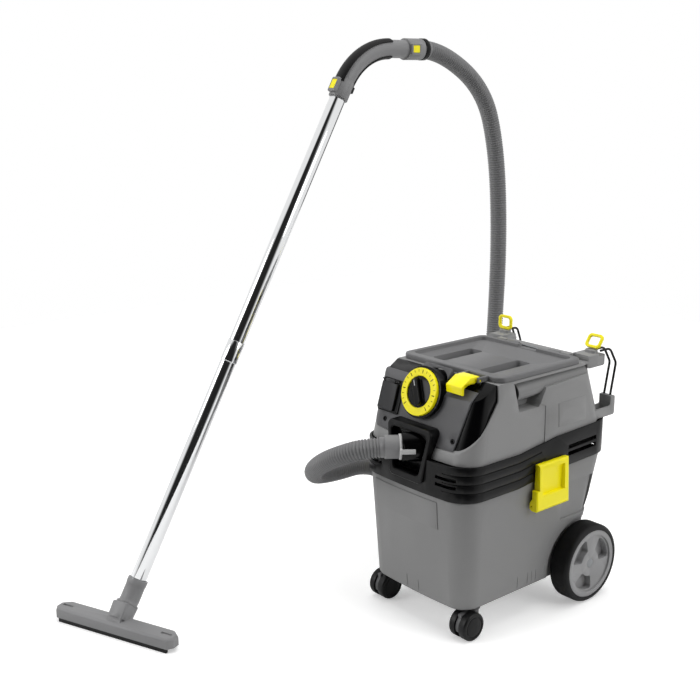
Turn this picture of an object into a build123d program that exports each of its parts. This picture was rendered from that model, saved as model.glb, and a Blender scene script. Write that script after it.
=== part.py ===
"""Wet and dry shop vacuum with hose, two tube wand and floor nozzle.

Worked in millimetres in the machine's own frame: floor at z = 0, front towards -Y, origin under
the middle of the wheelbase. At the end every piece is moved so that the origin is the bottom
centre of the box around all the rigid pieces.
"""
import os
from math import atan2, cos, radians, sin, tan

from build123d import *

# Container
TUB_FLOOR_Z = 63.5
TUB_REF_Z = 335
TUB_LOW = dict(half=139, front=-192, rear=170, r_front=44, r_rear=36, bow=7)
TUB_HIGH = dict(half=153, front=-215, rear=242, r_front=58, r_rear=48, bow=9)
WALL = 3.5
FLOOR_FILLET = 9

# Split between container and head: flat at the front, climbing to the rear
SPLIT = [(-400, 305), (-52, 305), (62, 319), (400, 330)]
SPLIT_BEND = 150
SEAL_T = 3
BAND_H = 72
BAND_PROUD = 3
GAP = 0.3

# Suction head
HEAD_LOW_Z = 372
DECK_Z = 529
HEAD_LOW = dict(half=153, front=-211, rear=242, r_front=52, r_rear=48, bow=9)
HEAD_HIGH = dict(half=143, front=-159, rear=181, r_front=24, r_rear=36, bow=5)
HEAD_WALL = 3
CHAMFER = [(-168, 498), (-104, 541)]
PANEL_EDGE = [(-300, 398), (-196, 398), (-158, 436), (-112, 496), (-112, 560)]
PANEL_SINK = 3.5

# Cover on top
COVER_TOP = 541
COVER_HALF = 141
COVER_FRONT = -104
COVER_REAR = 150
BEAM_REAR = 214

# Wheels
WHEEL_R = 87
WHEEL_W = 48
WHEEL_Y = 161
WHEEL_OUT = 185
RIM_R = 75
AXLE_R = 6
CASTER_X = 122
CASTER_Y = -140
CASTER_R = 30
CASTER_TRAIL = 21
CASTER_AXLE_R = 3
STEM_R = 5.5
RUN = 0.05

# Latches on both sides
LATCH_Y = 35
LATCH_W = 102
LATCH_LOW = 248
LATCH_TOP = 346
LATCH_PIN_Z = 258
LATCH_BACK = 1.2
LATCH_CLEAR = 0.8
LATCH_PIN_X = TUB_HIGH["half"] + BAND_PROUD + LATCH_CLEAR + LATCH_BACK

# Front controls
DIAL_Z = 494
DIAL_R = 48.5
DIAL_BORE = 32
SOCKET_X = -97
SOCKET_Z = 470
SOCKET_PROUD = 2.5

# Inlet and hose
INLET_Z = 390
INLET_TURN = 38
HOSE_OD = 42
HOSE_ID = 35
HOSE_ROOT_OD = 38.6
HOSE_RIBS = 190
HOSE_LEAD = 19
HOSE_PATH = [
    (-96, -306, 378), (-148, -312, 353), (-198, -298, 320), (-239, -265, 289), (-265, -219, 266),
    (-272, -167, 255), (-278, -104, 252), (-286, -30, 222), (-294, 34, 150), (-306, 130, 44),
    (-324, 250, 10), (-348, 370, 110), (-373, 432, 280), (-380, 454, 500), (-376, 453, 720),
    (-371, 427, 930), (-370, 374, 1078),
]
HOSE_FIRST_RUN = 52
HOSE_LAST_RUN = 66

# Nozzle and wand
NOZZLE_AT = (-357.4, -685.8)
NOZZLE_TURN = 21.578
NOZZLE_LEN = 304
NOZZLE_DEEP = 42
NOZZLE_SHIFT = -12
NOZZLE_LIP = 10
NOZZLE_TOP = 32
NECK_TILT = 40
NECK_R = 24
NECK_Z = 40
WAND_LEAN = 29.3
TUBE_R = 17.5
TUBE_WALL = 1
ELBOW_R = 20.5
ELBOW_REACH = 27
ELBOW_END = 43
TUBE_IN = 40
JOINT_AT = 579
WAND_TOP = 1162
HANDLE_LEAD = 25
HANDLE_BEND = 150
HANDLE_TAIL = 96
HANDLE_R = 20
HANDLE_BORE = 16.5


def plan(z, half, front, rear, r_front, r_rear, bow):
    """Outline seen from above: bowed front edge and rounded corners."""
    corner = front + bow
    edges = [
        ThreePointArc((-half, corner), (0, front), (half, corner)),
        Line((half, corner), (half, rear)),
        Line((half, rear), (-half, rear)),
        Line((-half, rear), (-half, corner)),
    ]
    face = make_face(edges)
    face = fillet([v for v in face.vertices() if v.Y < 0], r_front)
    face = fillet([v for v in face.vertices() if v.Y > rear - 1], r_rear)
    return Pos(0, 0, z) * face


def inset(size, d):
    """The same outline with every side moved in by d."""
    return dict(
        half=size["half"] - d, front=size["front"] + d, rear=size["rear"] - d,
        r_front=max(size["r_front"] - d, 2), r_rear=max(size["r_rear"] - d, 2), bow=size["bow"],
    )


def blend(low, high, t):
    return {key: low[key] + (high[key] - low[key]) * t for key in low}


def hull(low, low_z, high, high_z, d=0):
    return loft([plan(low_z, **inset(low, d)), plan(high_z, **inset(high, d))], ruled=True)


def side_region(points, bend, top=700):
    """Solid above a line drawn in the side view, running right across the machine."""
    line = FilletPolyline(*points, radius=bend)
    close = Polyline(line @ 1, (points[-1][0], top), (points[0][0], top), line @ 0)
    return extrude(Plane.YZ * make_face(line.edges() + close.edges()), amount=320, both=True)


def above_split(lift):
    return side_region([(y, z + lift) for y, z in SPLIT], SPLIT_BEND)


def rod(start, end, radius, bore=0):
    """Round bar, or tube, from one point to another."""
    start, end = Vector(start), Vector(end)
    plane = Plane(start, z_dir=end - start)
    face = Circle(radius)
    if bore:
        face -= Circle(bore)
    return extrude(plane * face, amount=(end - start).length)


def block(x, y, z):
    """Box between pairs of limits."""
    size = Box(x[1] - x[0], y[1] - y[0], z[1] - z[0])
    return Pos((x[0] + x[1]) / 2, (y[0] + y[1]) / 2, (z[0] + z[1]) / 2) * size


NODES = {}
CORD_NODES = ["hose_connector", "hose_ring", "suction_hose", "hose_cuff"]


def node(name, *shapes):
    solids = [solid for shape in shapes for solid in shape.solids()]
    NODES[name] = solids[0] if len(solids) == 1 else Compound(children=solids)


# Container: tapered tub, open on top, with wheel wells, axle bosses and caster sockets
well = [rod((s * 131, WHEEL_Y, WHEEL_R), (s * 260, WHEEL_Y, WHEEL_R), WHEEL_R + 9) for s in (-1, 1)]
well_wall = [
    rod((s * (131 - WALL), WHEEL_Y, WHEEL_R), (s * 260, WHEEL_Y, WHEEL_R), WHEEL_R + 9 + WALL)
    for s in (-1, 1)
]
tub = hull(TUB_LOW, TUB_FLOOR_Z, TUB_HIGH, TUB_REF_Z)
tub = fillet([e for e in tub.edges() if e.center().Z < TUB_FLOOR_Z + 0.1], FLOOR_FILLET)
tub += hull(TUB_LOW, TUB_FLOOR_Z, TUB_HIGH, TUB_REF_Z, -1.5) & block((-106, 78), (-260, -120), (234, 292))
tub_floor = blend(TUB_LOW, TUB_HIGH, WALL / (TUB_REF_Z - TUB_FLOOR_Z))
hollow = hull(tub_floor, TUB_FLOOR_Z + WALL, TUB_HIGH, TUB_REF_Z, WALL)
for shape in well:
    tub -= shape
for shape in well_wall:
    hollow -= shape
for s in (-1, 1):
    hollow -= rod((s * 132, WHEEL_Y, WHEEL_R), (s * 84, WHEEL_Y, WHEEL_R), AXLE_R + 8)
    hollow -= rod((s * CASTER_X, CASTER_Y, 60), (s * CASTER_X, CASTER_Y, 100), STEM_R + 5)
    side_recess = hull(TUB_LOW, TUB_FLOOR_Z, TUB_HIGH, TUB_REF_Z)
    side_recess -= hull(TUB_LOW, TUB_FLOOR_Z, TUB_HIGH, TUB_REF_Z, 5)
    side_recess &= block(sorted((s * 100, s * 200)), (94, 196), (194, 277))
    backing = hull(TUB_LOW, TUB_FLOOR_Z, TUB_HIGH, TUB_REF_Z)
    backing -= hull(TUB_LOW, TUB_FLOOR_Z, TUB_HIGH, TUB_REF_Z, 8.5)
    hollow -= backing & block(sorted((s * 100, s * 200)), (90, 200), (190, 281))
    tub -= side_recess
container = tub - hollow - above_split(-SEAL_T)
for s in (-1, 1):
    lug = rod((s * LATCH_PIN_X, LATCH_Y - 20, LATCH_PIN_Z), (s * LATCH_PIN_X, LATCH_Y + 20, LATCH_PIN_Z), 7)
    web = block(
        sorted((s * TUB_LOW["half"], s * LATCH_PIN_X)), (LATCH_Y - 20, LATCH_Y + 20),
        (LATCH_PIN_Z - 7, LATCH_PIN_Z + 7))
    container += (lug + web) - hollow
    pin_at = (s * LATCH_PIN_X, LATCH_Y - 60, LATCH_PIN_Z)
    container -= rod(pin_at, (s * LATCH_PIN_X, LATCH_Y + 60, LATCH_PIN_Z), 2.02)
    container -= rod((s * 200, WHEEL_Y, WHEEL_R), (s * 92, WHEEL_Y, WHEEL_R), AXLE_R)
    container -= rod((s * CASTER_X, CASTER_Y, 40), (s * CASTER_X, CASTER_Y, 94), STEM_R + RUN)
node("container", container)

rim = hull(TUB_LOW, TUB_FLOOR_Z, TUB_HIGH, TUB_REF_Z, 0.4)
rim -= hull(TUB_LOW, TUB_FLOOR_Z, TUB_HIGH, TUB_REF_Z, 7)
node("head_seal", rim & above_split(GAP - SEAL_T) - above_split(0))

# Rear wheels on stub axles pressed into the container
stubs = []
for s, side in ((-1, "left"), (1, "right")):
    inner = WHEEL_OUT - WHEEL_W
    stub = rod((s * 92, WHEEL_Y, WHEEL_R), (s * (WHEEL_OUT - 7), WHEEL_Y, WHEEL_R), AXLE_R)
    stub += rod((s * (WHEEL_OUT - 9), WHEEL_Y, WHEEL_R), (s * (WHEEL_OUT - 5), WHEEL_Y, WHEEL_R), AXLE_R + 4)
    stubs.append(stub)
    tyre = rod((s * inner, WHEEL_Y, WHEEL_R), (s * WHEEL_OUT, WHEEL_Y, WHEEL_R), WHEEL_R, RIM_R - 3)
    tyre = fillet([e for e in tyre.edges().filter_by(GeomType.CIRCLE) if e.radius > WHEEL_R - 1], 9)
    tyre -= rod((s * (WHEEL_OUT - 5), WHEEL_Y, WHEEL_R), (s * WHEEL_OUT, WHEEL_Y, WHEEL_R), RIM_R)
    node(f"tyre_{side}", tyre)
    disc = rod((s * (inner + 3), WHEEL_Y, WHEEL_R), (s * (WHEEL_OUT - 5), WHEEL_Y, WHEEL_R), RIM_R - 3)
    disc += rod((s * (WHEEL_OUT - 5), WHEEL_Y, WHEEL_R), (s * (WHEEL_OUT - 1), WHEEL_Y, WHEEL_R), RIM_R - GAP)
    disc -= rod((s * (inner - 1), WHEEL_Y, WHEEL_R), (s * (inner + 26), WHEEL_Y, WHEEL_R), RIM_R - 9, 24)
    face = Plane((s * WHEEL_OUT, WHEEL_Y, WHEEL_R), x_dir=(0, 1, 0), z_dir=(s, 0, 0))
    disc -= extrude(face * Circle(64), amount=-5)
    for turn in (30, 137, 245):
        wedge = make_face(Polyline((0, 0), (80, -48), (80, 48), close=True))
        sector = fillet(((Circle(60) - Circle(29)) & wedge).vertices(), 6)
        disc -= extrude(face * Rot(0, 0, turn if s > 0 else 180 - turn) * sector, amount=-20)
    disc -= rod((s * 100, WHEEL_Y, WHEEL_R), (s * 200, WHEEL_Y, WHEEL_R), AXLE_R + RUN)
    disc -= rod((s * (WHEEL_OUT - 9.3), WHEEL_Y, WHEEL_R), (s * 200, WHEEL_Y, WHEEL_R), AXLE_R + 4.3)
    node(f"rim_{side}", disc)
node("axle_stubs", *stubs)

# Front casters: swivelling fork with hood, axle and a pair of discs
for s, side in ((-1, "left"), (1, "right")):
    cx, cy = s * CASTER_X, CASTER_Y
    wy = cy - CASTER_TRAIL
    fork = rod((cx, cy, 30), (cx, cy, 93), STEM_R)
    fork += block((cx - 4.5, cx + 4.5), (wy - 20, cy + 10), (CASTER_R - 9, CASTER_R + 27))
    hood = rod((cx - 4.5, wy, CASTER_R), (cx + 4.5, wy, CASTER_R), 27)
    fork += hood & block((cx - 30, cx + 30), (wy - 40, cy), (20, 60))
    fork += rod((cx, cy, 2 * CASTER_R + 0.6), (cx, cy, TUB_FLOOR_Z - GAP), 13)
    fork -= rod((cx - 30, wy, CASTER_R), (cx + 30, wy, CASTER_R), CASTER_AXLE_R)
    node(f"caster_fork_{side}", fork)
    node(f"caster_axle_{side}", rod((cx - 20, wy, CASTER_R), (cx + 20, wy, CASTER_R), CASTER_AXLE_R))
    discs = []
    for d in (-1, 1):
        disc = rod((cx + d * 6, wy, CASTER_R), (cx + d * 22.5, wy, CASTER_R), CASTER_R)
        rims = [e for e in disc.edges().filter_by(GeomType.CIRCLE) if e.radius > CASTER_R - 1]
        disc = fillet([e for e in rims if abs(e.center().X - cx) > 10], 5)
        disc -= rod((cx + d * 5, wy, CASTER_R), (cx + d * 10, wy, CASTER_R), 25, 9)
        disc -= rod((cx, wy, CASTER_R), (cx + d * 20.3, wy, CASTER_R), CASTER_AXLE_R + RUN)
        disc -= rod((cx + d * 21.3, wy, CASTER_R), (cx + d * 30, wy, CASTER_R), 22, 20.5)
        discs.append(disc)
    node(f"caster_wheels_{side}", *discs)

# Latches hinged on the container, closing over the band
pins = []
for s, side in ((-1, "left"), (1, "right")):
    x = LATCH_PIN_X
    shape = Plane.XZ * make_face(Polyline(
        (x + 1, LATCH_LOW), (x + 13, LATCH_LOW), (x + 16, LATCH_LOW + 4), (x + 11, LATCH_TOP - 3),
        (x + 8, LATCH_TOP), (x - LATCH_BACK, LATCH_TOP), (x - LATCH_BACK, LATCH_PIN_Z + 12),
        (x - 5, LATCH_PIN_Z + 6), (x - 5, LATCH_PIN_Z - 6), close=True))
    body = Pos(0, LATCH_Y + LATCH_W / 2, 0) * extrude(shape, amount=LATCH_W)
    body = fillet(body.edges().filter_by(Axis.Z, tolerance=6).sort_by(Axis.X)[-4:], 4)
    upper = block((x + 5, x + 40), (LATCH_Y - 33, LATCH_Y + 37), (LATCH_PIN_Z + 22, LATCH_TOP - 11))
    body -= upper
    body -= block((x - 20, x + 40), (LATCH_Y - 60, LATCH_Y - LATCH_W / 2 + 9), (LATCH_PIN_Z + 34, 400))
    body -= block((x - 20, x + 8), (LATCH_Y - 20.6, LATCH_Y + 20.6), (LATCH_LOW - 1, LATCH_PIN_Z + 9))
    body -= rod((x, LATCH_Y - 60, LATCH_PIN_Z), (x, LATCH_Y + 60, LATCH_PIN_Z), 2 + RUN)
    pin = rod((x, LATCH_Y - 46, LATCH_PIN_Z), (x, LATCH_Y + 46, LATCH_PIN_Z), 2)
    node(f"latch_{side}", body if s > 0 else mirror(body, Plane.YZ))
    pins.append(pin if s > 0 else mirror(pin, Plane.YZ))
node("latch_pins", *pins)

# Band between container and head: ring with ledges, vents and the motor deck
BAND = inset(TUB_HIGH, -BAND_PROUD)
band_out = extrude(plan(280, **BAND), amount=150)
band = band_out - extrude(plan(270, **inset(BAND, 5)), amount=170)
band = (band & above_split(0)) - above_split(BAND_H)
deck = extrude(plan(350, **inset(BAND, 4.5)), amount=4)
deck -= Pos(0, -120, 352) * Cylinder(30, 10)
deck -= Pos(0, 95, 352) * Cylinder(34, 10)
band += deck
for i, lift in enumerate((18, 36, 54)):
    ledge = (above_split(lift) - above_split(lift + 2.2)) - extrude(plan(270, **inset(BAND, 1.8)), amount=170)
    band -= ledge & block((96, 200), (-260, 36 - 12 * i), (270, 420))
    band -= ledge & block((-200, -96), (-260, 36 - 12 * i), (270, 420))
for s in (-1, 1):
    for lift in (26, 41):
        band -= above_split(lift) & block(sorted((s * 78, s * 126)), (-240, -186), (280, 312 + lift))
        slot = above_split(lift - 6) - above_split(lift + 3)
        band -= slot & block(sorted((s * 140, s * 170)), (98, 190), (280, 420))
node("head_band", band)

# Head shell: tapered upper body whose front is cut back for the control panel
head_out = hull(HEAD_LOW, HEAD_LOW_Z - 14, HEAD_HIGH, DECK_Z)
head_in = hull(HEAD_LOW, HEAD_LOW_Z - 14, HEAD_HIGH, DECK_Z, HEAD_WALL)
slope = (CHAMFER[1][1] - CHAMFER[0][1]) / (CHAMFER[1][0] - CHAMFER[0][0])


def chamfer_region(d):
    """Everything in front of the sloping upper part of the panel, sunk by d."""
    far = 120
    pts = [
        (CHAMFER[0][0] - far + d, CHAMFER[0][1] - far * slope),
        (CHAMFER[1][0] + far + d, CHAMFER[1][1] + far * slope),
        (CHAMFER[0][0] - far + d, CHAMFER[1][1] + far * slope),
    ]
    return extrude(Plane.YZ * make_face(Polyline(*pts, close=True)), amount=320, both=True)


panel_line = FilletPolyline(*PANEL_EDGE, radius=14)
panel_back = Polyline(panel_line @ 1, (-300, 560), panel_line @ 0)
panel_face = make_face(panel_line.edges() + panel_back.edges())
panel_region = extrude(Plane.YZ * panel_face, amount=320, both=True)
shell = head_out - (head_in - block((-300, 300), (-300, 300), (DECK_Z - 4, DECK_Z + 10)))
shell = (shell & above_split(BAND_H)) - panel_region
shell -= block((-90, 90), (-88, 112), (DECK_Z - 10, DECK_Z + 10))
beam = extrude(Pos(0, 0, DECK_Z - 14) * Pos(0, (COVER_REAR + BEAM_REAR) / 2 + 1, 0)
               * RectangleRounded(2 * COVER_HALF, BEAM_REAR - COVER_REAR - 2, 14), amount=COVER_TOP - DECK_Z + 14)
beam = fillet(beam.faces().sort_by(Axis.Z)[-1].edges(), 4)
beam -= block((-100, 100), (COVER_REAR - 5, 240), (COVER_TOP - 8, COVER_TOP + 5))
beam -= block((-98, 98), (192, 240), (DECK_Z - 30, COVER_TOP + 5))
shell += beam - head_in
for s in (-1, 1):
    post = Pos(s * 122, 202, COVER_TOP - 2) * extrude(RectangleRounded(26, 18, 6), amount=9)
    shell += fillet(post.faces().sort_by(Axis.Z)[-1].edges(), 3)
GRIP_EDGE = [(-52, 463), (8, 463), (16, 478), (30, 500), (166, 506)]
recess = make_face(Polyline((-66, DECK_Z - 5), *GRIP_EDGE, (166, DECK_Z - 5), close=True))
recess = extrude(Plane.YZ * recess, amount=320, both=True)
lining = Polyline(
    (-70, DECK_Z - 1), (-55, 460), (10, 460), (19, 476), (32, 497), (170, 503), (170, DECK_Z - 1), close=True)
lining = extrude(Plane.YZ * make_face(lining), amount=320, both=True)
pad = make_face(Polyline(
    (22, 360), (28, 462), (10, 470), (30, 510), (160, 512), (180, 470), (198, 360), close=True))
pad = extrude(Plane.YZ * pad, amount=320, both=True)
pad = (hull(HEAD_LOW, HEAD_LOW_Z - 14, HEAD_HIGH, DECK_Z, -1.5) - head_in) & pad & above_split(BAND_H)
shell += pad - block((-120, 120), (-300, 300), (300, 600))
for s in (-1, 1):
    shell += lining & block(sorted((s * 109, s * 180)), (-80, 180), (440, DECK_Z - 1)) & head_out
    shell -= recess & block(sorted((s * 112, s * 220)), (-80, 180), (440, DECK_Z))
    roll = rod((s * 121, -48, 499), (s * 121, 168, 506), 20)
    shell += roll & block((-200, 200), (-80, 167), (440, DECK_Z - 1))
    shell -= rod((s * 121, -60, 498.6), (s * 121, -22, 499.8), 17.4)
label = hull(HEAD_LOW, HEAD_LOW_Z - 14, HEAD_HIGH, DECK_Z, -2.3) - head_in
shell += label & block((120, 170), (68, 156), (409, 459))
for s in (-1, 1):
    arm = block((s * 131 - 15, s * 131 + 15), (195, 262), (397, 418))
    arm += block((s * 131 - 15, s * 131 + 15), (247, 262), (397, 440))
    arm = fillet(arm.edges().filter_by(Axis.X).sort_by(Axis.Y)[-3:], 5)
    arm -= block((s * 131 - 12, s * 131 + 12), (195, 247), (403, 430))
    shell += arm - head_in
    bracket = extrude(Pos(s * 126, 203, 511) * RectangleRounded(28, 56, 8), amount=24)
    shell += fillet(bracket.faces().sort_by(Axis.Z)[0].edges(), 5) - head_in
inlet_hole = Polyline((-36.3, 337.7), (36.3, 337.7), (52.4, 423.3), (-52.4, 423.3), close=True)
inlet_hole = extrude(Plane.XZ * make_face(inlet_hole), amount=320, both=True)
inlet_hole &= block((-100, 100), (-300, -165), (300, 460))
shell -= inlet_hole
NODES["head_band"] = (band - inlet_hole).solid()
GLAND = (62, 441)
shell -= rod((GLAND[0], 170, GLAND[1]), (GLAND[0], 260, GLAND[1]), 11)
HINGE = (COVER_REAR + 8, DECK_Z + 6)
shell -= block((-146, 146), (COVER_REAR - 10, COVER_REAR + 19), (DECK_Z + 0.01, COVER_TOP + 5))
for s in (-1, 1):
    shell += block((s * 90 - 12, s * 90 + 12), (HINGE[0] - 5, HINGE[0] + 8), (DECK_Z - 3, HINGE[1] + 5))
shell -= rod((-140, *HINGE), (140, *HINGE), 2.5)
node("head_shell", shell)

# Control panel: sunk black surround, raised dark plate, dial, socket and inlet frame
FRONT_SLOPE = (HEAD_HIGH["front"] - HEAD_LOW["front"]) / (DECK_Z - HEAD_LOW_Z + 14)


def facet_y(z):
    return HEAD_LOW["front"] + (z - HEAD_LOW_Z + 14) * FRONT_SLOPE


def facet_plane(x, z):
    """Plane on the sloping front, looking out, with its Y axis up the slope."""
    tilt = atan2(FRONT_SLOPE, 1)
    return Plane((x, facet_y(z), z), x_dir=(1, 0, 0), z_dir=(0, -cos(tilt), sin(tilt)))


def skin(outer, inner):
    """Layer of the head between two depths, following the front and its upper chamfer."""
    out = hull(HEAD_LOW, HEAD_LOW_Z - 14, HEAD_HIGH, DECK_Z, outer) - chamfer_region(outer * 1.3)
    return out - (hull(HEAD_LOW, HEAD_LOW_Z - 14, HEAD_HIGH, DECK_Z, inner) - chamfer_region(inner * 1.3))


surround = skin(PANEL_SINK, PANEL_SINK + 3) & panel_region
surround -= inlet_hole
plate_shape = Polyline((-180, 402), (104, 402), (121, 500), (118, 514), (-180, 514), close=True)
plate_limit = extrude(Plane.XZ * make_face(plate_shape), amount=300)
plate_limit &= block((-300, 300), (-300, -122), (380, 530))
plate = skin(-0.6, PANEL_SINK) & panel_region & plate_limit
plate -= inlet_hole
plate_volume = hull(HEAD_LOW, HEAD_LOW_Z - 14, HEAD_HIGH, DECK_Z, -0.6) - chamfer_region(-0.8)
screws = []
for s in (-1, 1):
    spot = facet_plane(s * 98, 421)
    hole = extrude(spot * Circle(5.5), amount=12, both=True)
    plate -= hole
    screws.append(extrude(spot * Pos(0, 0, -PANEL_SINK) * (Circle(5) - RegularPolygon(2.5, 6)), amount=2.4))
dial_at = facet_plane(0, DIAL_Z)
node("panel_screws", *screws)
base = extrude(dial_at * Pos(0, 0, -42) * Circle(DIAL_R + 3), amount=55) - plate_volume
base += extrude(dial_at * Pos(0, 0, 10) * Circle(DIAL_R + 5), amount=3) - plate_volume
base -= extrude(dial_at * Pos(0, 0, 4) * Circle(5 + RUN), amount=12)
hood_at = Plane((-4, -134, CHAMFER[0][1] + 34 * slope), x_dir=(1, 0, 0), z_dir=(0, -slope, 1))
hood_face = hood_at * make_face(Polyline((-50, -16), (46, -16), (34, 20), (-40, 20), close=True))
hood_dip = hood_at * Pos(0, 0, 5) * make_face(Polyline((-26, -20), (22, -20), (14, 9), (-18, 9), close=True))
hood = extrude(hood_face, amount=12) - extrude(hood_dip, amount=12) + extrude(hood_face, amount=-9)
hood -= extrude(dial_at * Pos(0, 0, -60) * Circle(DIAL_R + 5.3), amount=90)
hood -= hull(HEAD_LOW, HEAD_LOW_Z - 14, HEAD_HIGH, DECK_Z, PANEL_SINK) - chamfer_region(PANEL_SINK * 1.3)
hood -= plate_volume & plate_limit
hood -= block((-200, 200), (COVER_FRONT - 8, 0), (400, 600))
node("dial_hood", hood.solids().sort_by(SortBy.VOLUME)[-1])
node("dial_base", base)
ring = extrude(dial_at * Pos(0, 0, 13.4) * (Circle(DIAL_R) - Circle(DIAL_BORE)), amount=7)
ring = fillet(ring.faces().sort_by(Axis.Y)[0].edges(), 1.6)
node("dial_ring", ring)
knob = extrude(dial_at * Pos(0, 0, 13.4) * Circle(DIAL_BORE - 0.6), amount=5)
knob += extrude(dial_at * Pos(0, 0, 18) * Rot(0, 0, 28) * RectangleRounded(15, 56, 6), amount=11)
knob = fillet(knob.faces().sort_by(Axis.Y)[0].edges(), 2)
knob += extrude(dial_at * Pos(0, 0, 5) * Circle(5), amount=9)
node("switch_knob", knob)
socket_at = facet_plane(SOCKET_X, SOCKET_Z)
sock = extrude(socket_at * Pos(5, -1, -8) * RectangleRounded(60, 70, 4), amount=8 + SOCKET_PROUD)
sock -= plate_volume
sock -= extrude(socket_at * Pos(0, -2, -1) * Circle(19), amount=20)
for s in (-1, 1):
    sock += socket_at * Pos(s * 17, 30, SOCKET_PROUD + 1.9) * Box(7, 6, 6)
flap_pin = Plane(socket_at.from_local_coords((-40, 30, SOCKET_PROUD + 3)), z_dir=(1, 0, 0))
sock -= extrude(flap_pin * Circle(1.5), amount=80)
node("socket_body", sock)
flap = extrude(socket_at * Pos(0, -3, SOCKET_PROUD + 0.4) * RectangleRounded(46, 58, 4), amount=4.5)
flap = fillet(flap.faces().sort_by(Axis.Y)[0].edges(), 1.5)
flap += socket_at * Pos(0, 27.3, SOCKET_PROUD + 3) * Box(26, 5.4, 4)
flap += extrude(flap_pin * Pos(0, 0, 27) * Circle(2.5), amount=26)
for s in (-1, 1):
    flap -= socket_at * Pos(s * 17, 30, SOCKET_PROUD + 3) * Box(8, 11, 12)
flap += extrude(flap_pin * Pos(0, 0, 15) * Circle(1.5 - RUN), amount=50)
node("socket_flap", flap)
surround -= extrude(dial_at * Pos(0, 0, -50) * Circle(7), amount=60)
node("panel_surround", surround)
node("control_panel", plate)

frame_out = make_face(Polyline((-65, 436), (65, 436), (46, 323), (-46, 323), close=True))
frame_out = fillet(frame_out.vertices(), 12)
frame_in = make_face(Polyline((-52, 423), (52, 423), (36, 338), (-36, 338), close=True))
frame_in = fillet(frame_in.vertices(), 9)
frame = extrude(Plane.XZ * (frame_out - frame_in), amount=240)
lean = Plane((0, BAND["front"] - 7, 323), x_dir=(1, 0, 0), z_dir=(0, -1, 0.1))
frame -= extrude(lean * Rectangle(400, 600), amount=60)
frame = fillet(frame.faces().sort_by(Axis.Y)[0].edges(), 3)
frame -= band_out - above_split(BAND_H + GAP)
frame -= hull(HEAD_LOW, HEAD_LOW_Z - 14, HEAD_HIGH, DECK_Z, -GAP)
frame -= plate_volume
node("inlet_frame", frame.solids().sort_by(SortBy.VOLUME)[-1])
aim = Vector(-sin(radians(INLET_TURN)), -cos(radians(INLET_TURN)), 0)
mouth = Vector(-7, -224, INLET_Z)
inlet = extrude(Plane.XZ * frame_in, amount=203) & block((-100, 100), (-203, -172), (300, 460))
inlet += rod(mouth - aim * 46, mouth + aim * 2, 30) & block((-60, 60), (-240, -172), (300, 460))
inlet -= rod(mouth - aim * 90, mouth + aim * 30, 24.4)
inlet -= head_out - block((-100, 100), (-240, -172), (334, 425))
node("inlet_port", inlet.solids().sort_by(SortBy.VOLUME)[-1])

# Cover: tray with raised rim, finger recesses, hinge knuckles and the release lever
cover = extrude(Pos(0, (COVER_FRONT + COVER_REAR) / 2, DECK_Z + GAP)
                * RectangleRounded(2 * COVER_HALF, COVER_REAR - COVER_FRONT, 20), amount=COVER_TOP - DECK_Z - GAP)
cover = fillet(cover.faces().sort_by(Axis.Z)[-1].edges(), 3)
tray = extrude(Pos(0, 24, COVER_TOP - 7) * RectangleRounded(252, 222, 12), amount=20)
cover -= tray
for s in (-1, 1):
    cover += extrude(Pos(s * 67, -8, DECK_Z - 20) * RectangleRounded(43, 126, 10), amount=24)
    cover -= extrude(Pos(s * 67, -8, DECK_Z - 17) * RectangleRounded(37, 120, 8), amount=60)
    cover += block((s * 58 - 16, s * 58 + 16), (COVER_REAR - 12, HINGE[0] + 4), (HINGE[1] - 3.5, HINGE[1] + 4))
    cover += rod((s * 58 - 16, *HINGE), (s * 58 + 16, *HINGE), 4.6)
for x in (54, 106):
    cover += block((x - 2.5, x + 2.5), (-131, COVER_FRONT + 12), (530.5, 540))
cover -= block((-26, 26), (COVER_REAR - 16, COVER_REAR + 1), (COVER_TOP - 6, COVER_TOP + 5))
cover -= rod((-140, *HINGE), (140, *HINGE), 2.5 + RUN)
LEVER = (-126, 534)
cover -= rod((40, *LEVER), (120, *LEVER), 2.5 + RUN)
node("filter_cover", cover)
node("cover_pin", rod((-118, *HINGE), (118, *HINGE), 2.5))
lever = make_face(Polyline(
    (-169, 507), (-171, 526), (-146, 541), (-122, 541), (-120, 531), (-134, 529), (-152, 518), close=True))
lever = Pos(59, 0, 0) * extrude(Plane.YZ * lever, amount=42)
lever = fillet(lever.edges().filter_by(Axis.X).sort_by(Axis.Y)[:3], 3)
lever -= Pos(104, -150, 500) * Cylinder(14, 60)
lever += rod((52.5, *LEVER), (107.5, *LEVER), 2.5)
node("cover_lever", lever)

# Inside the head: motor, turbine, filter, electronics and level probes
MOTOR_Y = 95
stack = Pos(0, MOTOR_Y, 0)


def tube(z0, z1, outer, inner=0):
    face = Circle(outer) - Circle(inner) if inner else Circle(outer)
    return stack * Pos(0, 0, z0) * extrude(face, amount=z1 - z0)


motor = tube(360, 452, 66, 62) + tube(360, 363, 66, 34) + tube(382, 392, 63, 11) + tube(440, 452, 63, 11)
node("motor_housing", motor)
node("motor_mount", tube(354, 360, 70, 40))
node("motor_stator", tube(396, 436, 62, 24))
node("motor_bearings", tube(383, 391, 11, 5 + RUN), tube(441, 449, 11, 5 + RUN))
node("motor_rotor", tube(365, 451, 5) + tube(398, 434, 21))
wheel = tube(366, 368, 56, 5) + tube(366, 380, 9, 5)
for i in range(8):
    blade = Rot(0, 0, 45 * i) * Pos(31, 6, 0) * Rot(0, 0, 24) * extrude(Rectangle(46, 2), amount=11)
    wheel += stack * Pos(0, 0, 367) * blade
node("turbine_wheel", wheel)
pleats = []
count = 24
for i in range(2 * count + 1):
    pleats.append((-80 + 160 * i / (2 * count), 496 if i % 2 else 462))
pleat_face = make_face(Polyline(*pleats, *[(x, z - 3) for x, z in reversed(pleats)], close=True))
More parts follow.
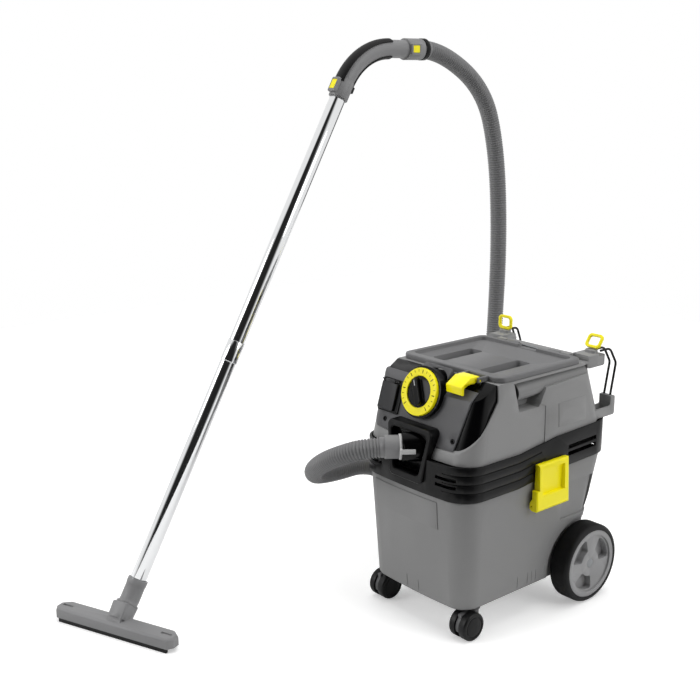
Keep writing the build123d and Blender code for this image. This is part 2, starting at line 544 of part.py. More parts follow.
pleat = Pos(0, 66, 0) * extrude(Plane.XZ * pleat_face, amount=150)
casing = extrude(Pos(0, -9, 457) * Rectangle(198, 174), amount=DECK_Z - 4 - 457)
casing -= extrude(Pos(0, -9, 450) * Rectangle(180, 150), amount=100)
casing += block((-90, -80), (-84, 66), (457, 500)) + block((80, 90), (-84, 66), (457, 500))
node("filter_pleats", pleat)
node("filter_frame", casing)
board = block((-60, 60), (-140, -138.4), (434, 484))
for x in (-52, 52):
    for z in (440, 478):
        post = rod((x, -138.4, z), (x, -200, z), 3)
        board += post & hull(HEAD_LOW, HEAD_LOW_Z - 14, HEAD_HIGH, DECK_Z, PANEL_SINK + 3)
node("circuit_board", board)
node("level_probes", rod((-16, 20, 300), (-16, 20, 350), 3), rod((16, 20, 300), (16, 20, 350), 3))
gland = rod((GLAND[0], 196, GLAND[1]), (GLAND[0], 236, GLAND[1]), 11, 4.5)
gland += (rod((GLAND[0], 190, GLAND[1]), (GLAND[0], 224, GLAND[1]), 15, 8) - head_out)
node("cable_gland", gland)

# Straps at the rear: yellow pull loop on each post, double elastic down to the lower hook
for s, side, tilt in ((-1, "left", 0), (1, "right", 35)):
    loop_face = RectangleRounded(38, 32, 9) - RectangleRounded(27, 20, 5)
    loop = extrude(Plane.XZ * loop_face, amount=3, both=True)
    loop = Pos(0, 0, 16) * loop
    loop = Pos(s * 122, 202, 548.4 + 3.6 * sin(radians(tilt))) * Rot(-tilt, 0, 0) * loop
    node(f"strap_loop_{side}", loop)
    strands = []
    for dx in (-8, 8):
        x = s * 131 + dx
        line = FilletPolyline(
            (x, 211.2, 545.5), (x, 244, 545.5), (x + s * 4, 262, 512), (x, 254, 440), radius=16)
        strands.append(sweep(Plane((x, 211.2, 545.5), z_dir=(0, 1, 0)) * Circle(2.5), path=line))
    node(f"strap_{side}", *strands)

# Nozzle: body with lips, neck turned back and up, elbow, two tubes and the bent handle
turn = radians(NOZZLE_TURN)
along = Vector(cos(turn), sin(turn), 0)
back = Vector(-sin(turn), cos(turn), 0)
tilt = radians(NECK_TILT)
neck_axis = back * cos(tilt) + Vector(0, 0, sin(tilt))
wand_axis = Vector(0, sin(radians(WAND_LEAN)), cos(radians(WAND_LEAN)))
shoe_at = Vector(NOZZLE_AT[0], NOZZLE_AT[1], 0) + back * NOZZLE_SHIFT
ground = Location(tuple(shoe_at), (0, 0, NOZZLE_TURN))
neck_at = Vector(NOZZLE_AT[0], NOZZLE_AT[1], NECK_Z) + back * 14
knee = neck_at + neck_axis * ELBOW_REACH
half, deep = NOZZLE_LEN / 2, NOZZLE_DEEP / 2
outline = make_face(Polyline(
    (-half, -deep + 12), (-half + 9, -deep), (half - 9, -deep), (half, -deep + 12), (half, deep - 14),
    (half - 18, deep), (-half + 18, deep), (-half, deep - 14), close=True))
shoe = extrude(Pos(0, 0, NOZZLE_LIP) * outline, amount=NOZZLE_TOP - NOZZLE_LIP)
shoe = fillet(shoe.faces().sort_by(Axis.Z)[-1].edges(), 6)
for s in (-1, 1):
    shoe -= block((s * (half - 24) - 13, s * (half - 24) + 13), (-4, 3), (NOZZLE_TOP - 3, NOZZLE_TOP + 5))
shoe = ground * shoe
collar = rod(neck_at - neck_axis * 24, neck_at + neck_axis * 10, NECK_R)
cheek = make_face(Polyline((-15, 20), (-8, 36), (14, 64), (26, 62), (40, 40), (32, 20), close=True))
cheek = ground * extrude(Plane.YZ * cheek, amount=17, both=True)
collar += cheek - rod(neck_at + neck_axis * 10, neck_at + neck_axis * 80, 90)
shoe += collar - ground * block((-200, 200), (-100, 100), (-50, NOZZLE_LIP))
shoe -= ground * block((-half + 20, half - 20), (-9, 9), (0, NOZZLE_LIP + 12))
shoe -= rod(neck_at - neck_axis * 6, neck_at + neck_axis * 40, ELBOW_R - 3 + GAP)
duct = rod(neck_at - neck_axis * 34, neck_at, 15)
shoe -= duct - ground * block((-200, 200), (-100, 100), (-50, NOZZLE_LIP + 4))
node("nozzle_body", shoe)
lips = []
for y in (-deep + 5, deep - 5):
    lips.append(ground * block((-half + 12, half - 12), (y - 3, y + 3), (0, NOZZLE_LIP)))
node("nozzle_lips", *lips)
foot = knee + wand_axis * ELBOW_END
elbow = rod(neck_at + neck_axis * 10.4, knee, ELBOW_R)
elbow += rod(neck_at + neck_axis * 10.4, neck_at + neck_axis * 15, NECK_R)
elbow += Pos(*knee) * Sphere(ELBOW_R)
elbow += rod(knee, foot, ELBOW_R)
elbow += rod(foot - wand_axis * 12, foot, ELBOW_R + 0.8)
elbow += rod(neck_at - neck_axis * 5.5, neck_at + neck_axis * 12, ELBOW_R - 3)
elbow -= rod(neck_at - neck_axis * 20, knee, 15)
elbow -= Pos(*knee) * Sphere(15)
elbow -= rod(knee, foot, 15)
elbow -= rod(foot - wand_axis * TUBE_IN, foot + wand_axis * 5, TUBE_R)
node("nozzle_elbow", elbow)

joint = knee + wand_axis * JOINT_AT
top = knee + wand_axis * WAND_TOP
lower = rod(foot - wand_axis * TUBE_IN, joint - wand_axis * 44, TUBE_R, TUBE_R - TUBE_WALL)
socket = rod(joint - wand_axis * 46, joint, TUBE_R + 1.2, TUBE_R - TUBE_WALL)
socket -= rod(joint - wand_axis * TUBE_IN, joint + wand_axis, TUBE_R)
lower += socket
node("lower_tube", lower)
node("upper_tube", rod(joint - wand_axis * TUBE_IN, top + wand_axis * 6, TUBE_R, TUBE_R - TUBE_WALL))

lean = radians(90 - WAND_LEAN)
corner = top + wand_axis * (HANDLE_LEAD + HANDLE_BEND * tan(lean / 2))
handle_end = corner + Vector(0, HANDLE_BEND * tan(lean / 2) + HANDLE_TAIL, 0)
spine = FilletPolyline(top, corner, handle_end, radius=HANDLE_BEND)
start_plane = Plane(top, x_dir=(1, 0, 0), z_dir=wand_axis)
handle = sweep(start_plane * Circle(HANDLE_R), path=spine)
handle += rod(top - wand_axis * 8, top + wand_axis * 34, 21.6)
handle += rod(handle_end - Vector(0, 48, 0), handle_end, 24)
front_pad = start_plane * Pos(0, -20, 13) * Box(24, 14, 34)
side_pad = Pos(*(handle_end + Vector(20, -31, 0))) * Box(14, 34, 26)
handle += fillet(front_pad.edges(), 3) + fillet(side_pad.edges(), 3)
handle -= sweep(start_plane * Circle(HANDLE_BORE), path=spine)
handle -= rod(top - wand_axis * 10, top + wand_axis * 6, TUBE_R)
handle -= rod(handle_end - Vector(0, 20, 0), handle_end + Vector(0, 2, 0), 21.4)
tube_key = start_plane * Pos(0, -24.5, 13) * Box(16, 5, 22)
hose_key = Pos(*(handle_end + Vector(24.5, -33, 0))) * Box(5, 20, 16)
handle -= start_plane * Pos(0, -25, 13) * Box(16.6, 12, 22.6)
handle -= Pos(*(handle_end + Vector(25, -33, 0))) * Box(12, 20.6, 16.6)
arc = spine.edges().filter_by(GeomType.CIRCLE)[0]
if (arc @ 0 - top).length > (arc @ 1 - top).length:
    arc = arc.reversed()
grip_plane = Plane(arc @ 0, x_dir=(1, 0, 0), z_dir=wand_axis)
ring_face = Circle(HANDLE_R + 3) - Circle(HANDLE_R + 0.02)
grips = []
for s, spread in ((-1, 26), (1, 20)):
    wedge = make_face(Polyline(
        (0, 0), (spread, s * 24), (spread, s * 40), (-spread, s * 40), (-spread, s * 24), close=True))
    grips.append(sweep(grip_plane * (ring_face & wedge), path=arc))
grips[1] += Pos(*(arc @ 0.06)) * Rot(-30, 0, 0) * Pos(0, 24, -10) * Box(12, 8, 14)
grips = [grip - handle for grip in grips]
node("handle", handle)
node("handle_grips", *[g.solids().sort_by(SortBy.VOLUME)[-1] for g in grips])
node("tube_key", fillet(tube_key.edges(), 1.2))
node("hose_key", fillet(hose_key.edges(), 1.2))

# Hose: connector in the inlet, ribbed tube along straight runs and arcs, cuff at the handle
flange = mouth + aim * 2.4
connector = rod(mouth - aim * 30, flange + aim * 34, 24)
connector -= rod(mouth - aim * 40, mouth + aim * 80, HOSE_ID / 2)
connector -= rod(mouth + aim * HOSE_LEAD, mouth + aim * 80, HOSE_OD / 2 + 0.2)
node("hose_connector", connector)
collar_ring = rod(flange, flange + aim * 5, 26.5, 24)
tab = Plane(flange, x_dir=(cos(radians(INLET_TURN)), -sin(radians(INLET_TURN)), 0), z_dir=aim)
collar_ring += tab * (block((25.5, 33.4), (-5, 5), (0, 5)) + block((31, 33.4), (-5, 5), (-26, 5)))
node("hose_ring", collar_ring)
node("hose_cuff", rod(handle_end + Vector(0, 0.4, 0), handle_end + Vector(0, 14, 0), 24.6, HOSE_OD / 2 + 0.2))

hose_start = mouth + aim * (HOSE_LEAD + 0.3)
first = hose_start + aim * HOSE_FIRST_RUN
last = handle_end + Vector(0, 1 + HOSE_LAST_RUN, 0)
way = [hose_start, first] + [Vector(p) for p in HOSE_PATH] + [last, handle_end + Vector(0, 1, 0)]
radii, arcs = [], []
spot = way[0]
for a, b, c in zip(way, way[1:], way[2:]):
    into, out = (b - a).normalized(), (c - b).normalized()
    bend = radians(into.get_angle(out))
    reach = 0.45 * min((b - a).length, (c - b).length)
    radii.append(reach / tan(bend / 2))
    arcs.append((spot, b - into * reach, b, into, out, bend, radii[-1]))
    spot = b + out * reach
print("hose radii", [round(r) for r in radii])
pieces = []
for spot, arc_start, b, into, out, bend, radius in arcs:
    pieces.append(("line", spot, into, (arc_start - spot).length))
    side = (out - into * into.dot(out)).normalized()
    pieces.append(("arc", arc_start, into, radius * bend, side, radius))
reach = radius * tan(bend / 2)
pieces.append(("line", b + out * reach, out, (way[-1] - b).length - reach))
length = sum(piece[3] for piece in pieces)


def station(s):
    """Place and direction on the hose's centre line at a distance from the inlet."""
    for piece in pieces:
        if s <= piece[3] or piece is pieces[-1]:
            break
        s -= piece[3]
    if piece[0] == "line":
        return piece[1] + piece[2] * s, piece[2]
    angle = s / piece[5]
    place = piece[1] + piece[2] * (piece[5] * sin(angle)) + piece[4] * (piece[5] * (1 - cos(angle)))
    return place, piece[2] * cos(angle) + piece[4] * sin(angle)


cuts = [(0, HOSE_OD / 2)]
pitch = (length - 60) / HOSE_RIBS
for i in range(HOSE_RIBS):
    s = 34 + pitch * i
    cuts += [(s, HOSE_ROOT_OD / 2), (s + pitch * 0.22, HOSE_OD / 2)]
    cuts += [(s + pitch * 0.6, HOSE_OD / 2), (s + pitch * 0.82, HOSE_ROOT_OD / 2)]
cuts[1:1] = [(32, HOSE_OD / 2)]
cuts += [(length - 24, HOSE_OD / 2), (length, HOSE_OD / 2)]
steady = Vector(0, 0, 1)
rings = []
for s, r in cuts:
    place, tangent = station(s)
    steady = (steady - tangent * tangent.dot(steady)).normalized()
    rings.append(Wire.make_circle(r, Plane(place, x_dir=steady, z_dir=tangent)))
outer = Solid.make_loft(rings, ruled=True)
bore_line = FilletPolyline(*way, radius=radii)
bore = sweep(Plane(way[0], z_dir=way[1] - way[0]) * Circle(HOSE_ID / 2), path=bore_line)
sides = [f for f in outer.faces() if f.geom_type != GeomType.PLANE]
sides += [f for f in bore.faces() if f.geom_type != GeomType.PLANE]
for s, r in (cuts[0], cuts[-1]):
    place, tangent = station(s)
    plane = Plane(place, z_dir=tangent)
    sides.append((plane * (Circle(r) - Circle(HOSE_ID / 2))).face())
hose = Solid(Shell(sides))
print("hose lowest", round(min(station(length * i / 400)[0].Z for i in range(401)), 1))
print("hose length", round(length), "volume", round(hose.volume), "valid", hose.is_valid)
node("suction_hose", hose)

# Move the whole set so that the origin is the bottom centre of the rigid pieces' box
rigid = Compound(children=[
    s for name, shape in NODES.items() if name not in CORD_NODES for s in shape.solids()])
box = rigid.bounding_box()
shift = Vector(-(box.min.X + box.max.X) / 2, -(box.min.Y + box.max.Y) / 2, -box.min.Z)
os.makedirs("parts", exist_ok=True)
for name, shape in NODES.items():
    export_step(Pos(*shift) * shape, f"parts/{name}.step")
print("origin shift", shift, "box", box.size)
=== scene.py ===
"""Looks for the shop vacuum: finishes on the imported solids, a finely ribbed hose and moulded details."""
import math

import bmesh
import bpy
from mathutils import Matrix, Vector
from mathutils.bvhtree import BVHTree


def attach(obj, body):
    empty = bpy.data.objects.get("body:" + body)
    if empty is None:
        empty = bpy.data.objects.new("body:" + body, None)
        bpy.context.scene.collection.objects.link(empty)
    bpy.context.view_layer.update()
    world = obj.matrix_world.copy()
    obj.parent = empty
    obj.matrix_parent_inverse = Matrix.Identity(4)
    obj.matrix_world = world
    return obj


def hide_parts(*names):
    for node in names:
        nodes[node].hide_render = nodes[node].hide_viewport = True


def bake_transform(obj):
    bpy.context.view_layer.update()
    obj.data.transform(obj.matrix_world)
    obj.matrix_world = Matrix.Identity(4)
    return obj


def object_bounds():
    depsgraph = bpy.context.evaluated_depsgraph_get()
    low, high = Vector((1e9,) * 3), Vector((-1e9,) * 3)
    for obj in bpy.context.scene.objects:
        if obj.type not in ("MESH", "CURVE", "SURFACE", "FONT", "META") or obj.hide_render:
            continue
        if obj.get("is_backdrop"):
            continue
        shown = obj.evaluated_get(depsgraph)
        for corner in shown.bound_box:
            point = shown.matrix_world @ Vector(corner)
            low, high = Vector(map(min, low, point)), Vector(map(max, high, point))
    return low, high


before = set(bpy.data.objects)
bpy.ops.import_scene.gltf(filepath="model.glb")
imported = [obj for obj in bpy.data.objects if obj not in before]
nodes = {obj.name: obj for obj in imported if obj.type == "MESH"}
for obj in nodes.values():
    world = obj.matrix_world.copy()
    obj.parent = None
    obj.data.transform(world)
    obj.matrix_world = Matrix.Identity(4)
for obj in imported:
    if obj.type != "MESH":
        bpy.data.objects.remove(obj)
cad_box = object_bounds()
scene = bpy.context.scene
scene.view_settings.view_transform = "Standard"

# Container: one tapered tub, injection moulded in grey polypropylene with a fine eroded grain.
# Short upright ribs stiffen the foot of its front and side walls, and are moulded with it.
# The grain spreads the light, so that the walls look dull and even, with no sharp reflection.


def linear(code):
    """Colour written as sRGB hex, as linear RGBA."""
    values = [int(code[i:i + 2], 16) / 255 for i in (1, 3, 5)]
    return [v / 12.92 if v <= 0.04045 else ((v + 0.055) / 1.055) ** 2.4 for v in values] + [1]


def add(tree, kind, values=(), feeds=(), **settings):
    """Shader node with its settings, its fixed values and the outputs that feed it."""
    fresh = tree.nodes.new("ShaderNode" + kind)
    for key, value in settings.items():
        setattr(fresh, key, value)
    for socket, value in dict(values).items():
        fresh.inputs[socket].default_value = value
    for socket, source in dict(feeds).items():
        tree.links.new(source, fresh.inputs[socket])
    return fresh


def finish(name, colour, rough, shade=0.06, grain_mm=1.1111, depth=0.02, metallic=0.0, gleam=0.4):
    """Surface with a faint cloudy tone, uneven gloss and a fine grain in the bump."""
    # A real mould's grain is about 0.2 mm; it is drawn some five times as coarse, so that it shows.
    cloud_mm = 111.11
    uneven = 0.06
    material = bpy.data.materials.new(name)
    material.use_nodes = True
    tree = material.node_tree
    shader = tree.nodes["Principled BSDF"]
    base = linear(colour)
    darker = [c * (1 - shade) for c in base[:3]] + [1]
    lighter = [min(c * (1 + shade), 1) for c in base[:3]] + [1]
    place = add(tree, "TexCoord").outputs["Object"]
    cloud = add(tree, "TexNoise", {"Scale": 1000 / cloud_mm, "Detail": 4}, {"Vector": place}).outputs["Fac"]
    grain = add(tree, "TexNoise", {"Scale": 1000 / grain_mm, "Detail": 2}, {"Vector": place}).outputs["Fac"]
    tone = add(tree, "Mix", {"A": darker, "B": lighter}, {"Factor": cloud}, data_type="RGBA")
    tree.links.new(tone.outputs["Result"], shader.inputs["Base Color"])
    span = {"To Min": max(rough - uneven, 0.02), "To Max": rough + uneven}
    gloss = add(tree, "MapRange", span, {"Value": cloud})
    tree.links.new(gloss.outputs["Result"], shader.inputs["Roughness"])
    bump = add(tree, "Bump", {"Strength": depth, "Distance": 0.001}, {"Height": grain})
    tree.links.new(bump.outputs["Normal"], shader.inputs["Normal"])
    shader.inputs["Metallic"].default_value = metallic
    shader.inputs["Specular IOR Level"].default_value = gleam
    return material


def dress(material, *names):
    """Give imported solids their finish, and the small rounded edges that moulding or turning leaves."""
    for name in names:
        solid = nodes[name]
        solid.data.materials.clear()
        solid.data.materials.append(material)
        solid.data.polygons.foreach_set("use_smooth", [True] * len(solid.data.polygons))
        weld = solid.modifiers.new("weld", "WELD")
        weld.merge_threshold = 0.00001
        edges = solid.modifiers.new("edges", "BEVEL")
        edges.width = 0.0008
        edges.segments = 2
        edges.limit_method = "ANGLE"
        edges.angle_limit = math.radians(35)
        edges.use_clamp_overlap = True
        edges.harden_normals = True


def mesh_piece(name, shape, material):
    """Finish a bmesh as an object in its place."""
    mesh = bpy.data.meshes.new(name)
    bmesh.ops.recalc_face_normals(shape, faces=shape.faces)
    shape.to_mesh(mesh)
    shape.free()
    mesh.materials.append(material)
    piece = bpy.data.objects.new(name, mesh)
    scene.collection.objects.link(piece)
    return piece


container_grey = finish("container_polypropylene", "#838383", 0.5, depth=0.05)
dress(container_grey, "container")
rib_foot, rib_crest, rib_proud, rib_sunk = 0.0013, 0.0007, 0.0013, 0.0004
rib_rise = ((0.073, 0), (0.075, 0.8), (0.082, 1), (0.09, 1), (0.097, 0.8), (0.1, 0))
wall = BVHTree.FromObject(nodes["container"], bpy.context.evaluated_depsgraph_get())
front_x = (0.1356, 0.1695)
side_y = (0.2238, 0.2554, 0.2682, 0.2811, 0.3103)
rays = [((x, -0.6), (0, 1)) for x in front_x]
for y in side_y:
    rays += [((0.6, y), (-1, 0)), ((-0.3, y), (1, 0))]
shape = bmesh.new()
for start, way in rays:
    patch = iter(bmesh.ops.create_grid(shape, x_segments=3, y_segments=len(rib_rise) - 1, size=1)["verts"])
    for height, rise in rib_rise:
        spot, out, _, _ = wall.ray_cast(Vector((*start, height)), Vector((*way, 0)))
        side = out.cross(Vector((0, 0, 1))).normalized()
        foot, crest = -out * rib_sunk, out * rib_proud * rise
        for across, lift in ((-rib_foot, foot), (-rib_crest, crest), (rib_crest, crest), (rib_foot, foot)):
            next(patch).co = spot + side * across + lift
ribs = mesh_piece("container_ribs", shape, container_grey)
ribs.data.polygons.foreach_set("use_smooth", [True] * len(ribs.data.polygons))
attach(ribs, "container")

# Rear wheels: black rubber tyres, rougher than the plastics, on pale grey moulded rims.
# They turn on turned steel stubs that are pressed into the container's bosses.
# The rubber looks dry and nearly black, and the rims have the soft gloss of bare polypropylene.
steel = finish("turned_steel", "#8e9092", 0.34, depth=0.03, metallic=1.0)
tyre_rubber = finish("tyre_rubber", "#0c0c0d", 0.5, grain_mm=2, depth=0.12, gleam=0.25)
dress(tyre_rubber, "tyre_left", "tyre_right")
dress(finish("rim_polypropylene", "#909091", 0.4, depth=0.04), "rim_left", "rim_right")
dress(steel, "axle_stubs")

# Front casters: dark grey moulded forks that swivel in the container's sockets.
# Each carries a pair of black nylon discs on a steel axle, with a waxy half gloss.
dress(finish("fork_nylon", "#5a5a5b", 0.42, depth=0.03), "caster_fork_left", "caster_fork_right")
disc_nylon = finish("disc_nylon", "#101011", 0.36, depth=0.03, gleam=0.25)
dress(disc_nylon, "caster_wheels_left", "caster_wheels_right")
dress(steel, "caster_axle_left", "caster_axle_right")

# Yellow touch points: latches on steel pins, the dial's ring, the cover's lever, strap loops and keys.
# All are moulded in the same smooth ABS, coloured through, with a soft gloss.
yellow = finish("yellow_abs", "#fff000", 0.34, shade=0.02, depth=0.02)
dress(yellow, "latch_left", "latch_right", "dial_ring", "cover_lever")
dress(yellow, "strap_loop_left", "strap_loop_right", "tube_key", "hose_key")
dress(steel, "latch_pins", "cover_pin")

# Suction head: black band with the vents, grey upper shell, and the darker tray of the cover.
# Each is one ABS moulding. The shell's grain leaves it matt, while the band and the inlet's frame
# are smoother and keep narrow bright lines along their edges.
band_black = finish("band_abs", "#0b0b0c", 0.34, depth=0.03, gleam=0.22)
dress(band_black, "head_band", "inlet_frame", "cable_gland")
dress(finish("shell_abs", "#898989", 0.46, depth=0.05), "head_shell")
dress(finish("cover_abs", "#6e6e6f", 0.46, depth=0.05), "filter_cover")

# Control panel: a dark grained plate screwed over a high gloss black surround.
# The dial's base, the knob, the socket and the inlet are the same gloss black ABS,
# smooth from a polished mould, so that it mirrors the lamps as small clear lights.
gloss_black = finish("gloss_abs", "#050506", 0.22, depth=0.004, gleam=0.18)
dress(finish("panel_abs", "#505052", 0.45, depth=0.05), "control_panel", "dial_hood")
# The panel's screws take this gloss black as painted shade: it stands for the dark holes they sit in.
dress(gloss_black, "panel_surround", "panel_screws", "dial_base")
dress(gloss_black, "switch_knob", "socket_body", "inlet_port")
dress(finish("flap_abs", "#2c2c2e", 0.3, depth=0.02, gleam=0.3), "socket_flap")

# Marks of the dial: plain strokes printed round the yellow ring, every third one longer.
# The knob in the middle has one pale stroke that points along its grip.
dial = Vector((0.155954, 0.082879, 0.494))
dial_out, dial_up = Vector((0, -0.956742, 0.290939)), Vector((0, 0.290939, 0.956742))


def strokes(name, body, level, spans, material):
    """Thin strokes on a face square to the dial's axis: (angle, inner and outer radius, width) each."""
    shape = bmesh.new()
    sunk, proud = 0.0001, 0.0003
    for angle, inner, outer, width in spans:
        turn = math.radians(angle)
        out = Vector((math.sin(turn), 0, 0)) + dial_up * math.cos(turn)
        middle = dial + dial_out * (level + (proud - sunk) / 2) + out * (inner + outer) / 2
        axes = Matrix((out.cross(dial_out), out, dial_out)).transposed().to_4x4()
        size = Matrix.Diagonal((width, outer - inner, proud + sunk, 1))
        bmesh.ops.create_cube(shape, size=1, matrix=Matrix.Translation(middle) @ axes @ size)
    piece = mesh_piece(name, shape, material)
    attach(piece, body)
    return piece


tick_count, tick_first, tick_step, tick_outer = 19, -135, 15, 0.0452
ticks = []
for i in range(tick_count):
    inner, width = (0.0375, 0.0015) if i % 3 == 0 else (0.0405, 0.0009)
    ticks.append((tick_first + tick_step * i, inner, tick_outer, width))
marks = strokes("dial_strokes", "dial_ring", 0.0204, ticks, gloss_black)
pale_ink = finish("pale_ink", "#c9c9c9", 0.5, depth=0.01)
pointer = strokes("switch_pointer", "switch_knob", 0.029, [(-28, 0.012, 0.024, 0.0016)], pale_ink)

# Inside the head: steel motor, rotor, turbine wheel and probes, hung in a black rubber mount.
# The flat filter is pleated paper in a dark moulded frame; the board sits behind the panel.
# Most of it shows only with the head lifted or the cover open.
black_rubber = finish("black_rubber", "#101011", 0.5, grain_mm=1.6667, depth=0.08, gleam=0.3)
dress(steel, "motor_housing", "motor_stator", "motor_bearings")
dress(steel, "motor_rotor", "turbine_wheel", "level_probes")
dress(black_rubber, "head_seal", "motor_mount")
dress(finish("filter_paper", "#cfc9b4", 0.8, depth=0.1), "filter_pleats")
dress(finish("inner_abs", "#2c2f2c", 0.6, depth=0.05), "filter_frame", "circuit_board")

# Straps at the rear: pairs of thin black elastic cords with a matt rubber skin.
# They are tied to the pull loops on top and to the lower hooks.
dress(black_rubber, "strap_left", "strap_right")

# Hose: blown polyethylene with close ribs, grey and half matt, from the inlet's connector to the cuff.
# It hangs from the handle, lies on the floor behind the machine and comes round to the front.
route = [
    (0.137072, 0.013314, 0.39), (0.105058, -0.027663, 0.388), (0.059954, -0.053477, 0.368),
    (0.006954, -0.06, 0.339), (-0.044046, -0.046, 0.304), (-0.085046, -0.012477, 0.274),
    (-0.110046, 0.033523, 0.256), (-0.116046, 0.085523, 0.25), (-0.122046, 0.148523, 0.248),
    (-0.130046, 0.222523, 0.22), (-0.138046, 0.286523, 0.15), (-0.150046, 0.382523, 0.044),
    (-0.168046, 0.502523, 0.01), (-0.192046, 0.622523, 0.11), (-0.217046, 0.684523, 0.28),
    (-0.224046, 0.706523, 0.5), (-0.220046, 0.705523, 0.72), (-0.215046, 0.679523, 0.93),
    (-0.214046, 0.626523, 1.078), (-0.214201, 0.473682, 1.169094), (-0.214201, 0.407682, 1.169094),
]
hose_bore, hose_crest, hose_groove = 0.0175, 0.0208, 0.0183
hose_lead, hose_tail, hose_spare = 0.026, 0.022, 0.002
hose_sides, hose_ribs = 28, 360
line = bpy.data.curves.new("hose_line", "CURVE")
line.dimensions = "3D"
line.resolution_u = 40
spline = line.splines.new("NURBS")
spline.points.add(len(route) - 1)
for point, place in zip(spline.points, route):
    point.co = (*place, 1)
spline.order_u = 3
spline.use_endpoint_u = True
guide = bpy.data.objects.new("hose_line", line)
scene.collection.objects.link(guide)
sampled = bpy.data.meshes.new_from_object(guide.evaluated_get(bpy.context.evaluated_depsgraph_get()))
path = [v.co.copy() for v in sampled.vertices]
bpy.data.objects.remove(guide)
bpy.data.meshes.remove(sampled)
reach = [0.0]
for a, b in zip(path, path[1:]):
    reach.append(reach[-1] + (b - a).length)
hose_length = reach[-1]


def along(distance):
    """Point and direction on the hose's line at a distance from the inlet."""
    distance = min(max(distance, 0), hose_length - 1e-6)
    i = max(k for k in range(len(reach) - 1) if reach[k] <= distance)
    share = (distance - reach[i]) / (reach[i + 1] - reach[i])
    near = path[max(i - 1, 0)]
    far = path[min(i + 2, len(path) - 1)]
    return path[i].lerp(path[i + 1], share), (far - near).normalized()


pitch = (hose_length - hose_lead - hose_tail - hose_spare) / hose_ribs
rings = [(*along(0), hose_bore), (*along(0), hose_crest), (*along(hose_lead), hose_crest)]
for i in range(hose_ribs):
    start = hose_lead + pitch * i
    for share, radius in ((0.08, hose_groove), (0.3, hose_crest), (0.62, hose_crest), (0.86, hose_groove)):
        rings.append((*along(start + pitch * share), radius))
rings.append((*along(hose_length - hose_tail), hose_crest))
rings.append((*along(hose_length), hose_crest))
rings.append((*along(hose_length), hose_bore))
shape = bmesh.new()
steady = Vector((0, 0, 1))
last = None
for place, direction, radius in rings:
    steady = (steady - direction * direction.dot(steady)).normalized()
    other = direction.cross(steady)
    ring = []
    for k in range(hose_sides):
        angle = 2 * math.pi * k / hose_sides
        out = steady * math.cos(angle) + other * math.sin(angle)
        ring.append(shape.verts.new(place + out * radius))
    if last:
        for k in range(hose_sides):
            shape.faces.new((last[k], last[k - 1], ring[k - 1], ring[k]))
    last = ring
hose_grey = finish("hose_polyethylene", "#757576", 0.4, depth=0.03)
dress(hose_grey, "suction_hose")
hose = mesh_piece("hose", shape, hose_grey)
hose.data.polygons.foreach_set("use_smooth", [True] * len(hose.data.polygons))
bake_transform(hose)
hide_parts("suction_hose")
dress(finish("ring_abs", "#bfbfbf", 0.4, depth=0.03), "hose_ring")
dress(gloss_black, "hose_cuff")

# Wand: two chromed steel tubes, mirror bright, pushed into the handle and the nozzle's elbow.
# The handle, elbow, connector and nozzle are grey mouldings, with black rubber grips and lips.
chrome = finish("chromed_tube", "#eeeff0", 0.05, shade=0.01, depth=0.001, metallic=1.0)
dress(chrome, "lower_tube", "upper_tube")
fitting_grey = finish("fitting_abs", "#808081", 0.45, depth=0.04)
dress(fitting_grey, "handle", "nozzle_elbow", "nozzle_body", "hose_connector")
dress(black_rubber, "handle_grips", "nozzle_lips")

# Camera at the photograph's place, solved from its perspective.
# It has 35 degrees of view, a level horizon and no shift.
sensor_mm, focal_px, photo_px = 36, 1099.6, 700
eye = bpy.data.cameras.new("camera")
eye.lens = sensor_mm * focal_px / photo_px
camera = bpy.data.objects.new("camera", eye)
scene.collection.objects.link(camera)
right, up, back = (0.6468, 0.7627, 0), (-0.1869, 0.1585, 0.9696), (0.7395, -0.6271, 0.2450)
turn = Matrix((right, up, back)).transposed().to_4x4()
camera.matrix_world = Matrix.Translation((1.67595, -1.40448, 1.1186)) @ turn
scene.camera = camera

# Floor: a white sheet that keeps the soft shadows. It ends on the right, past the last shadow,
# so that the chrome mirrors the dark side of the room there and not the sheet.
ground = bpy.data.meshes.new("floor")
ground.from_pydata([(-3, -3, 0), (0.75, -3, 0), (0.75, 3, 0), (-3, 3, 0)], [], [(0, 1, 2, 3)])
floor = bpy.data.objects.new("floor", ground)
scene.collection.objects.link(floor)
floor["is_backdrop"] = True
pale = bpy.data.materials.new("floor_sheet")
pale.use_nodes = True
pale_shader = pale.node_tree.nodes["Principled BSDF"]
pale_shader.inputs["Base Color"].default_value = (0.9, 0.9, 0.9, 1)
pale_shader.inputs["Roughness"].default_value = 0.9
pale_shader.inputs["Specular IOR Level"].default_value = 0.1
pale_shader.inputs["Emission Color"].default_value = (1, 1, 1, 1)
seen = add(pale.node_tree, "LightPath").outputs["Is Camera Ray"]
glow = add(pale.node_tree, "Math", {1: 0.36}, {0: seen}, operation="MULTIPLY")
pale.node_tree.links.new(glow.outputs["Value"], pale_shader.inputs["Emission Strength"])
ground.materials.append(pale)

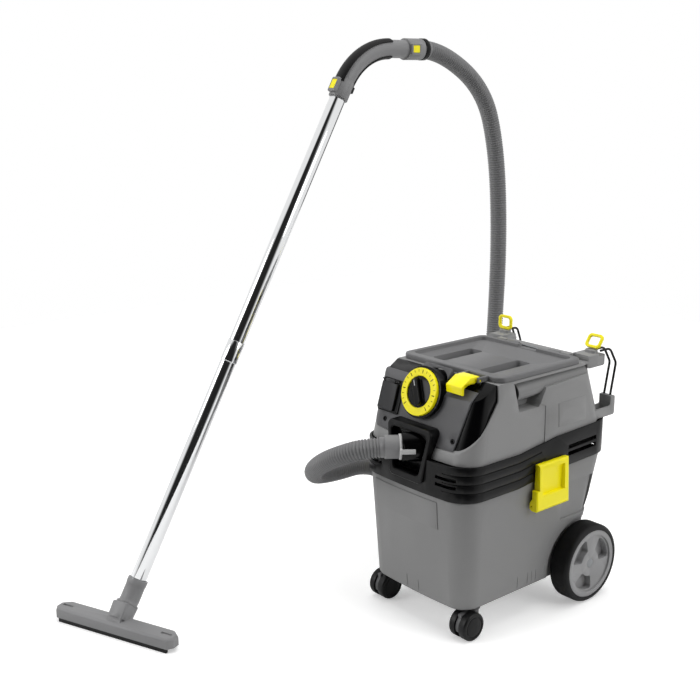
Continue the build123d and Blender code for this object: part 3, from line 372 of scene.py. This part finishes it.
# Room: white to the camera and nearly white to the object, with a dark side behind the camera
# and a narrow dark gap at the back, which give the chrome its black lines.
world = bpy.data.worlds.new("world")
world.use_nodes = True
scene.world = world
room = world.node_tree
sky = room.nodes["Background"]
sky.inputs["Color"].default_value = (1, 1, 1, 1)
way = add(room, "TexCoord").outputs["Generated"]
flat = add(room, "VectorMath", {1: (1, 1, 0.25)}, {0: way}, operation="MULTIPLY").outputs["Vector"]
level_way = add(room, "VectorMath", feeds={0: flat}, operation="NORMALIZE").outputs["Vector"]
shares = []
for centre, edge, core, dark in (
    ((0.68, -0.733, 0), 0.5, 0.86, 0.02),
    ((-0.423, 0.906, 0), 0.93, 0.98, 0.1),
):
    facing = add(room, "VectorMath", {1: centre}, {0: level_way}, operation="DOT_PRODUCT").outputs["Value"]
    span = {"From Min": edge, "From Max": core, "To Min": 0.95, "To Max": dark}
    fade = add(room, "MapRange", span, {"Value": facing}, interpolation_type="SMOOTHSTEP")
    shares.append(fade.outputs["Result"])
both = add(room, "Math", feeds={0: shares[0], 1: shares[1]}, operation="MULTIPLY").outputs["Value"]
seen = add(room, "LightPath").outputs["Is Camera Ray"]
strength = add(room, "Mix", {"B": 1.0}, {"Factor": seen, "A": both})
room.links.new(strength.outputs["Result"], sky.inputs["Strength"])

# Lamps: a large soft one above, one in front on the left and a weaker one on the right.
# The top lamp is kept out of reflections, where its disc would cut the tube's black line.
for name, place, aim, size, power in (
    ("lamp_top", (0.2, 0.3, 3.4), (0, 0.1, 0.3), 3.0, 40),
    ("lamp_front", (-1.4, -3.2, 2.0), (0.1, 0.1, 0.4), 2.0, 40),
    ("lamp_side", (3.2, 1.0, 2.0), (0.1, 0.1, 0.4), 2.0, 30),
):
    light = bpy.data.lights.new(name, "AREA")
    light.shape = "DISK"
    light.size = size
    light.energy = power
    lamp = bpy.data.objects.new(name, light)
    scene.collection.objects.link(lamp)
    lamp.location = place
    lamp.visible_glossy = name != "lamp_top"
    lamp.rotation_mode = "QUATERNION"
    lamp.rotation_quaternion = (Vector(aim) - Vector(place)).to_track_quat("-Z", "Y")

size = {"cad": [list(corner) for corner in cad_box], "visual": [list(corner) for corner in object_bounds()]}
